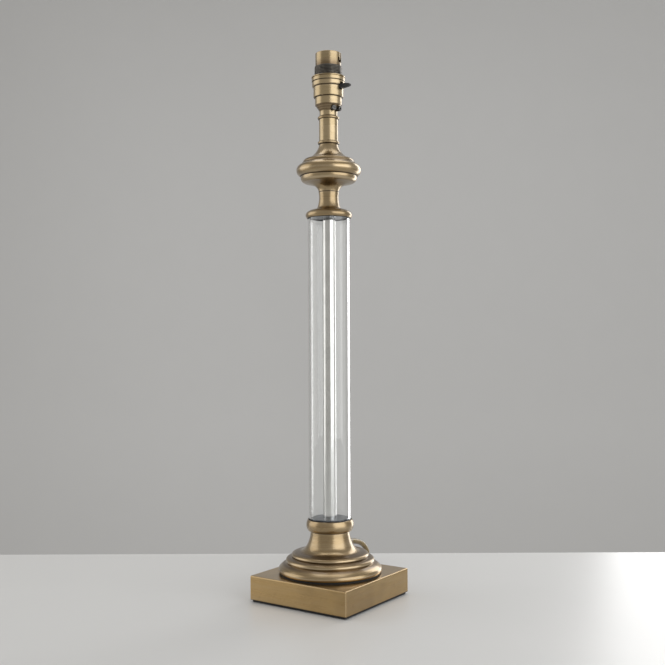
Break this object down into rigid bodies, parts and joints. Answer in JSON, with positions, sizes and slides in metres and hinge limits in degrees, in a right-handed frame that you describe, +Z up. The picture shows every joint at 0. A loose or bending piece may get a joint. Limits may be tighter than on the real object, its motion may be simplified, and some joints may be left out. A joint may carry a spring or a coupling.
{
  "type": "column table lamp",
  "caption": "Table lamp with a square brass plinth, bell foot, clear glass column, knop and neck, a switched bayonet lampholder, and a gold flex with its plug.",
  "frame": {"origin": "on the column's axis, on the surface that the lamp stands on", "axes": "+Z up the column; -Y the plinth's front face; +Y the side where the flex leaves the foot; the switch lever points to +X"},
  "size_m": [0.1737, 0.2126, 0.5435],
  "materials": {
    "aged_brass": "brushed satin, brown patina in the creases",
    "plain_brass": "plain machined",
    "dark_bronze": "dark bronzed thread",
    "bright_alloy": "bright turned",
    "plated_steel": "zinc plated",
    "iron": "rough cast",
    "black_rubber": "matte",
    "clear_glass": "clear, polished",
    "black_moulding": "moulded",
    "plug_moulding": "moulded",
    "bush_moulding": "translucent gold-brown",
    "gold_flex": "translucent gold sheath"
  },
  "bodies": {
    "lamp": {"plinth_cover": "aged_brass", "foot_bell": "aged_brass", "lower_collar": "aged_brass", "upper_collar": "aged_brass", "waist_bead": "aged_brass", "waist": "aged_brass", "knop_lower": "aged_brass", "knop_upper": "aged_brass", "lower_neck_ring": "aged_brass", "upper_neck_ring": "aged_brass", "neck_tube": "aged_brass", "top_spacer": "aged_brass", "holder_cap": "aged_brass", "holder_body": "aged_brass", "holder_barrel": "aged_brass", "thread_sleeve": "dark_bronze", "plug_pin_live": "plain_brass", "plug_pin_neutral": "plain_brass", "plug_pin_earth": "plain_brass", "centre_tube": "bright_alloy", "lower_seat_disc": "bright_alloy", "upper_seat_disc": "bright_alloy", "threaded_rod": "plated_steel", "base_nut": "plated_steel", "base_washer": "plated_steel", "earth_screw": "plated_steel", "earth_terminal": "plated_steel", "lever_pivot_pin": "plated_steel", "contact_spring_front": "plated_steel", "contact_spring_back": "plated_steel", "plug_screw": "plated_steel", "plinth_weight": "iron", "lower_gasket": "black_rubber", "upper_gasket": "black_rubber", "bell_gasket": "black_rubber", "base_pad": "black_rubber", "glass_tube": "clear_glass", "holder_insert": "black_moulding", "plug_cover": "plug_moulding", "plug_base": "plug_moulding", "cord_tie": "black_moulding", "cord_bush": "bush_moulding", "plug_grip": "bush_moulding", "cord": "gold_flex", "cord_hank": "gold_flex", "cord_tail": "gold_flex", "inner_flex": "gold_flex"},
    "ring": {"shade_ring": "aged_brass"},
    "lever": {"switch_lever": "black_moulding"},
    "plunger_front": {"contact_front": "plain_brass"},
    "plunger_back": {"contact_back": "plain_brass"}
  },
  "joints": [
    {"name": "ring_slide", "type": "slide", "parent": "lamp", "child": "ring", "axis": [0, 0, 1], "range_m": [0, 0.03]},
    {"name": "switch_rock", "type": "hinge", "parent": "lamp", "child": "lever", "pos_m": [0.011, 0, 0.5087], "axis": [0, 1, 0], "range_deg": [-10, 10]},
    {"name": "plunger_front_slide", "type": "slide", "parent": "lamp", "child": "plunger_front", "axis": [0, 0, -1], "range_m": [0, 0.0034], "stiffness_N_per_m": 600, "springref_m": -0.004, "deforming": ["contact_spring_front"]},
    {"name": "plunger_back_slide", "type": "slide", "parent": "lamp", "child": "plunger_back", "axis": [0, 0, -1], "range_m": [0, 0.0034], "stiffness_N_per_m": 600, "springref_m": -0.004, "deforming": ["contact_spring_back"]}
  ]
}
